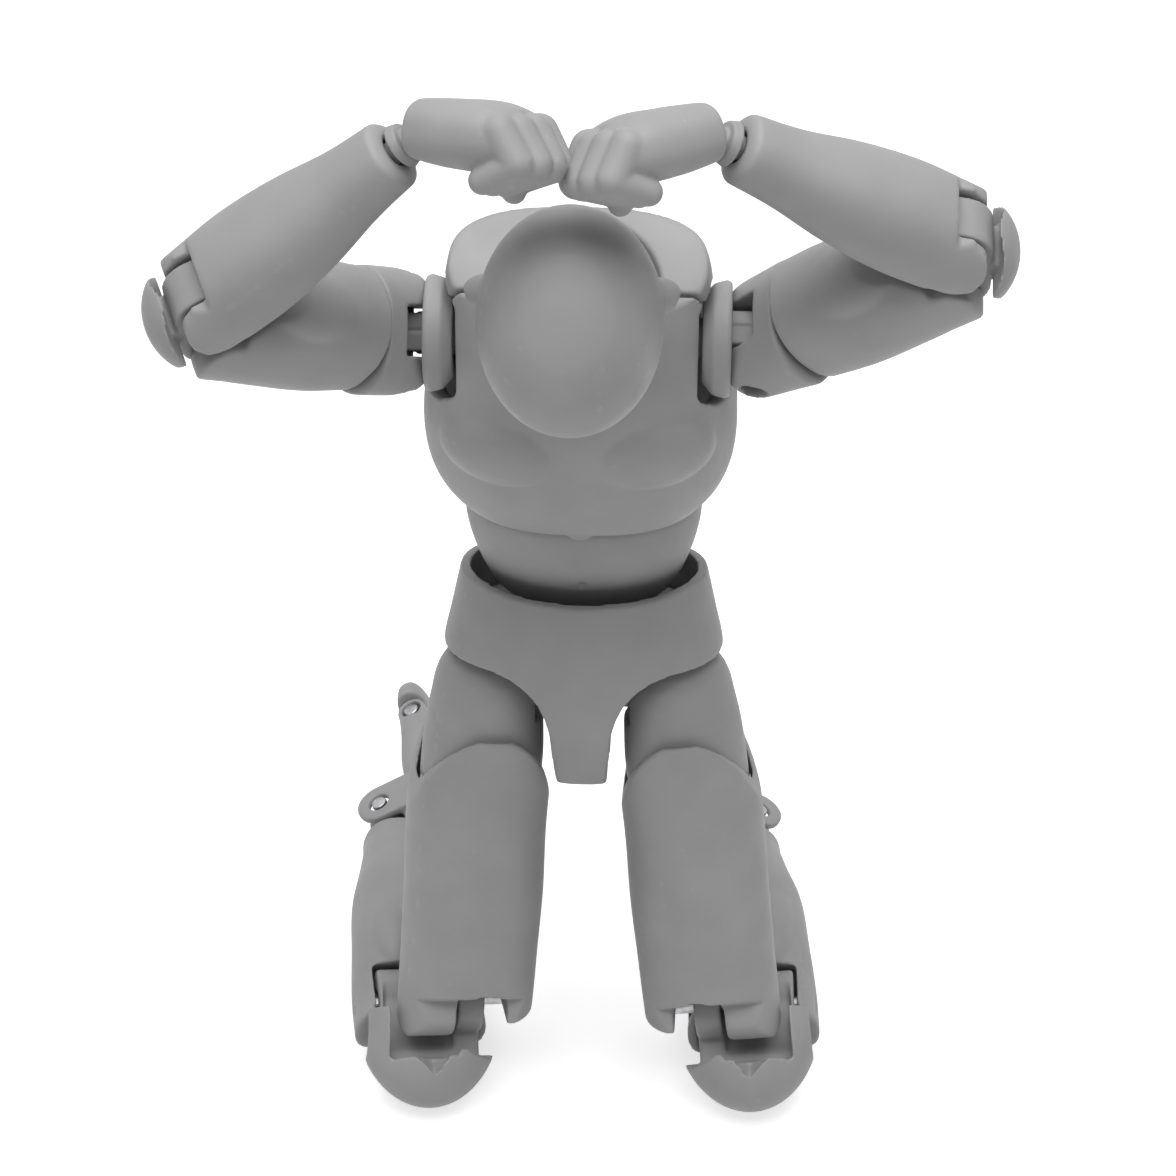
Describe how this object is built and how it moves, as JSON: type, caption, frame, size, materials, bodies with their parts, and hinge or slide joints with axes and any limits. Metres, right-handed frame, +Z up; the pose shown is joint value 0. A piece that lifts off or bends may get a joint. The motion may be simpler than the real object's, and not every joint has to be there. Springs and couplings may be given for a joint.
{
  "type": "articulated drawing mannequin",
  "caption": "Jointed grey plastic human figure for drawing practice, kneeling with its head bowed and both fists held together above its head.",
  "frame": {"origin": "on the ground, below the middle of the kneeling figure's bounding box", "axes": "+Z up; the figure faces -Y, and its own right side is towards -X"},
  "size_m": [0.0652, 0.0716, 0.1161],
  "materials": {
    "body_plastic": "matte mid-grey moulded plastic",
    "joint_plastic": "matte mid-grey moulded plastic, slightly darker in the joints",
    "pin_steel": "small steel hinge pins"
  },
  "bodies": {
    "pelvis": {"pelvis_shell": "body_plastic", "pelvis_block": "joint_plastic"},
    "waist_peg": {"waist_ball_peg": "joint_plastic"},
    "abdomen": {"abdomen": "body_plastic"},
    "chest_peg": {"chest_ball_peg": "joint_plastic"},
    "chest": {"chest_front": "body_plastic", "chest_back": "body_plastic", "chest_block": "joint_plastic"},
    "neck": {"neck": "body_plastic"},
    "head_peg": {"head_ball_peg": "joint_plastic"},
    "head": {"head": "body_plastic"},
    "right_shoulder": {"right_shoulder_cup": "body_plastic", "right_shoulder_hinge": "joint_plastic"},
    "right_deltoid": {"right_deltoid": "body_plastic", "right_shoulder_pin": "pin_steel"},
    "right_upper_arm": {"right_upper_arm": "body_plastic", "right_upper_elbow_pin": "pin_steel"},
    "right_elbow": {"right_elbow_link": "joint_plastic"},
    "right_forearm": {"right_forearm": "body_plastic", "right_lower_elbow_pin": "pin_steel"},
    "right_wrist": {"right_wrist_peg": "joint_plastic"},
    "right_hand": {"right_hand": "body_plastic"},
    "left_shoulder": {"left_shoulder_cup": "body_plastic", "left_shoulder_hinge": "joint_plastic"},
    "left_deltoid": {"left_deltoid": "body_plastic", "left_shoulder_pin": "pin_steel"},
    "left_upper_arm": {"left_upper_arm": "body_plastic", "left_upper_elbow_pin": "pin_steel"},
    "left_elbow": {"left_elbow_link": "joint_plastic"},
    "left_forearm": {"left_forearm": "body_plastic", "left_lower_elbow_pin": "pin_steel"},
    "left_wrist": {"left_wrist_peg": "joint_plastic"},
    "left_hand": {"left_hand": "body_plastic"},
    "right_hip": {"right_hip_joint": "joint_plastic"},
    "right_thigh_top": {"right_thigh_top": "body_plastic", "right_hip_pin": "pin_steel"},
    "right_thigh": {"right_thigh": "body_plastic", "right_upper_knee_pin": "pin_steel"},
    "right_knee": {"right_knee_link": "body_plastic"},
    "right_shin": {"right_shin": "body_plastic", "right_lower_knee_pin": "pin_steel"},
    "right_ankle": {"right_ankle_joint": "joint_plastic"},
    "right_foot": {"right_foot": "body_plastic", "right_ankle_pin": "pin_steel", "right_toe_pin": "pin_steel"},
    "right_toe": {"right_toe": "body_plastic"},
    "left_hip": {"left_hip_joint": "joint_plastic"},
    "left_thigh_top": {"left_thigh_top": "body_plastic", "left_hip_pin": "pin_steel"},
    "left_thigh": {"left_thigh": "body_plastic", "left_upper_knee_pin": "pin_steel"},
    "left_knee": {"left_knee_link": "body_plastic"},
    "left_shin": {"left_shin": "body_plastic", "left_lower_knee_pin": "pin_steel"},
    "left_ankle": {"left_ankle_joint": "joint_plastic"},
    "left_foot": {"left_foot": "body_plastic", "left_ankle_pin": "pin_steel", "left_toe_pin": "pin_steel"},
    "left_toe": {"left_toe": "body_plastic"}
  },
  "joints": [
    {"name": "waist_twist", "type": "hinge", "parent": "pelvis", "child": "waist_peg", "pos_m": [-0.00065, -0.0022, 0.0563], "axis": [0, 0.2011, 0.9796], "range_deg": [-15, 15]},
    {"name": "waist_bend", "type": "hinge", "parent": "waist_peg", "child": "abdomen", "pos_m": [-0.00065, -0.0022, 0.0563], "axis": [1, 0, 0], "range_deg": [-15, 5]},
    {"name": "chest_twist", "type": "hinge", "parent": "abdomen", "child": "chest_peg", "pos_m": [-0.00065, -0.00565, 0.06883], "axis": [0, -0.2656, 0.9641], "range_deg": [-18, 18]},
    {"name": "chest_bend", "type": "hinge", "parent": "chest_peg", "child": "chest", "pos_m": [-0.00065, -0.00565, 0.06883], "axis": [1, 0, 0], "range_deg": [-12, 8]},
    {"name": "neck_bend", "type": "hinge", "parent": "chest", "child": "neck", "pos_m": [-0.00065, -0.01253, 0.08682], "axis": [1, 0, 0], "range_deg": [-4, 3]},
    {"name": "head_turn", "type": "hinge", "parent": "neck", "child": "head_peg", "pos_m": [-0.00065, -0.02079, 0.09527], "axis": [0, -0.6613, 0.7501], "range_deg": [-26, 26]},
    {"name": "head_nod", "type": "hinge", "parent": "head_peg", "child": "head", "pos_m": [-0.00065, -0.02079, 0.09527], "axis": [1, 0, 0], "range_deg": [-8, 2]},
    {"name": "right_shoulder_swing", "type": "hinge", "parent": "chest", "child": "right_shoulder", "pos_m": [-0.01455, -0.01376, 0.08591], "axis": [1, 0, 0], "range_deg": [-80, 6]},
    {"name": "right_shoulder_raise", "type": "hinge", "parent": "right_shoulder", "child": "right_deltoid", "pos_m": [-0.01455, -0.01376, 0.08591], "axis": [0, 0.575, 0.8181], "range_deg": [-95, 1]},
    {"name": "right_arm_twist", "type": "hinge", "parent": "right_deltoid", "child": "right_upper_arm", "pos_m": [-0.01455, -0.01376, 0.08591], "axis": [-0.6972, -0.5865, 0.4122], "range_deg": [-6, 60]},
    {"name": "right_elbow_upper", "type": "hinge", "parent": "right_upper_arm", "child": "right_elbow", "pos_m": [-0.02773, -0.02484, 0.0937], "axis": [-0.3799, 0.7899, 0.4814], "range_deg": [-49, 2]},
    {"name": "right_elbow_lower", "type": "hinge", "parent": "right_elbow", "child": "right_forearm", "pos_m": [-0.02756, -0.02707, 0.09749], "axis": [-0.3799, 0.7899, 0.4814], "range_deg": [-49, 2]},
    {"name": "right_wrist_twist", "type": "hinge", "parent": "right_forearm", "child": "right_wrist", "pos_m": [-0.01086, -0.02812, 0.11238], "axis": [0.7454, -0.0467, 0.665], "range_deg": [-80, 80]},
    {"name": "right_wrist_bend", "type": "hinge", "parent": "right_wrist", "child": "right_hand", "pos_m": [-0.01086, -0.02812, 0.11238], "axis": [0.4396, 0.7844, -0.4376], "range_deg": [-55, 5]},
    {"name": "left_shoulder_swing", "type": "hinge", "parent": "chest", "child": "left_shoulder", "pos_m": [0.01325, -0.01376, 0.08591], "axis": [1, 0, 0], "range_deg": [-80, 6]},
    {"name": "left_shoulder_raise", "type": "hinge", "parent": "left_shoulder", "child": "left_deltoid", "pos_m": [0.01325, -0.01376, 0.08591], "axis": [0, -0.8805, -0.4741], "range_deg": [-95, 1]},
    {"name": "left_arm_twist", "type": "hinge", "parent": "left_deltoid", "child": "left_upper_arm", "pos_m": [0.01325, -0.01376, 0.08591], "axis": [-0.7683, 0.3035, -0.5636], "range_deg": [-6, 60]},
    {"name": "left_elbow_upper", "type": "hinge", "parent": "left_upper_arm", "child": "left_elbow", "pos_m": [0.02777, -0.01949, 0.09656], "axis": [-0.0223, -0.8927, -0.4502], "range_deg": [-54, 2]},
    {"name": "left_elbow_lower", "type": "hinge", "parent": "left_elbow", "child": "left_forearm", "pos_m": [0.02753, -0.02147, 0.10048], "axis": [-0.0223, -0.8927, -0.4502], "range_deg": [-54, 2]},
    {"name": "left_wrist_twist", "type": "hinge", "parent": "left_forearm", "child": "left_wrist", "pos_m": [0.00883, -0.02665, 0.11169], "axis": [0.8345, 0.2313, -0.5001], "range_deg": [-80, 80]},
    {"name": "left_wrist_bend", "type": "hinge", "parent": "left_wrist", "child": "left_hand", "pos_m": [0.00883, -0.02665, 0.11169], "axis": [0.4804, -0.7499, 0.4547], "range_deg": [-55, 5]},
    {"name": "right_hip_swing", "type": "hinge", "parent": "pelvis", "child": "right_hip", "pos_m": [-0.00915, -0.00589, 0.04328], "axis": [1, 0, 0], "range_deg": [-30, 30]},
    {"name": "right_hip_spread", "type": "hinge", "parent": "right_hip", "child": "right_thigh_top", "pos_m": [-0.00915, -0.00589, 0.04328], "axis": [0, 0.9796, -0.2011], "range_deg": [-3, 20]},
    {"name": "right_thigh_twist", "type": "hinge", "parent": "right_thigh_top", "child": "right_thigh", "pos_m": [-0.00915, -0.00589, 0.04328], "axis": [0.0906, 0.2002, 0.9755], "range_deg": [-25, 25]},
    {"name": "right_knee_upper", "type": "hinge", "parent": "right_thigh", "child": "right_knee", "pos_m": [-0.01476, -0.01321, 0.01045], "axis": [0.9723, 0.1942, -0.1302], "range_deg": [-49, 4]},
    {"name": "right_knee_lower", "type": "hinge", "parent": "right_knee", "child": "right_shin", "pos_m": [-0.01591, -0.01014, 0.00641], "axis": [0.9723, 0.1942, -0.1302], "range_deg": [-43, 4]},
    {"name": "right_ankle_twist", "type": "hinge", "parent": "right_shin", "child": "right_ankle", "pos_m": [-0.02145, 0.01666, 0.00509], "axis": [-0.2019, 0.9782, -0.0482], "range_deg": [-30, 30]},
    {"name": "right_ankle_bend", "type": "hinge", "parent": "right_ankle", "child": "right_foot", "pos_m": [-0.02145, 0.01666, 0.00509], "axis": [0.384, 0.0337, -0.9227], "range_deg": [-80, 2]},
    {"name": "right_toe_bend", "type": "hinge", "parent": "right_foot", "child": "right_toe", "pos_m": [-0.01923, 0.02996, 0.00649], "axis": [0.384, 0.0337, -0.9227], "range_deg": [-40, 10]},
    {"name": "left_hip_swing", "type": "hinge", "parent": "pelvis", "child": "left_hip", "pos_m": [0.00785, -0.00589, 0.04328], "axis": [1, 0, 0], "range_deg": [-30, 30]},
    {"name": "left_hip_spread", "type": "hinge", "parent": "left_hip", "child": "left_thigh_top", "pos_m": [0.00785, -0.00589, 0.04328], "axis": [0, -0.9796, 0.2011], "range_deg": [-3, 20]},
    {"name": "left_thigh_twist", "type": "hinge", "parent": "left_thigh_top", "child": "left_thigh", "pos_m": [0.00785, -0.00589, 0.04328], "axis": [0.1288, -0.1994, -0.9714], "range_deg": [-25, 25]},
    {"name": "left_knee_upper", "type": "hinge", "parent": "left_thigh", "child": "left_knee", "pos_m": [0.01481, -0.01265, 0.01059], "axis": [0.9915, 0.0088, 0.1297], "range_deg": [-49, 4]},
    {"name": "left_knee_lower", "type": "hinge", "parent": "left_knee", "child": "left_shin", "pos_m": [0.01532, -0.00952, 0.00646], "axis": [0.9915, 0.0088, 0.1297], "range_deg": [-43, 4]},
    {"name": "left_ankle_twist", "type": "hinge", "parent": "left_shin", "child": "left_ankle", "pos_m": [0.01536, 0.01779, 0.0043], "axis": [-0.0015, -0.9969, 0.079], "range_deg": [-30, 30]},
    {"name": "left_ankle_bend", "type": "hinge", "parent": "left_ankle", "child": "left_foot", "pos_m": [0.01536, 0.01779, 0.0043], "axis": [0.3832, 0.0724, 0.9208], "range_deg": [-80, 2]},
    {"name": "left_toe_bend", "type": "hinge", "parent": "left_foot", "child": "left_toe", "pos_m": [0.01052, 0.03041, 0.00532], "axis": [0.3832, 0.0724, 0.9208], "range_deg": [-40, 10]}
  ]
}
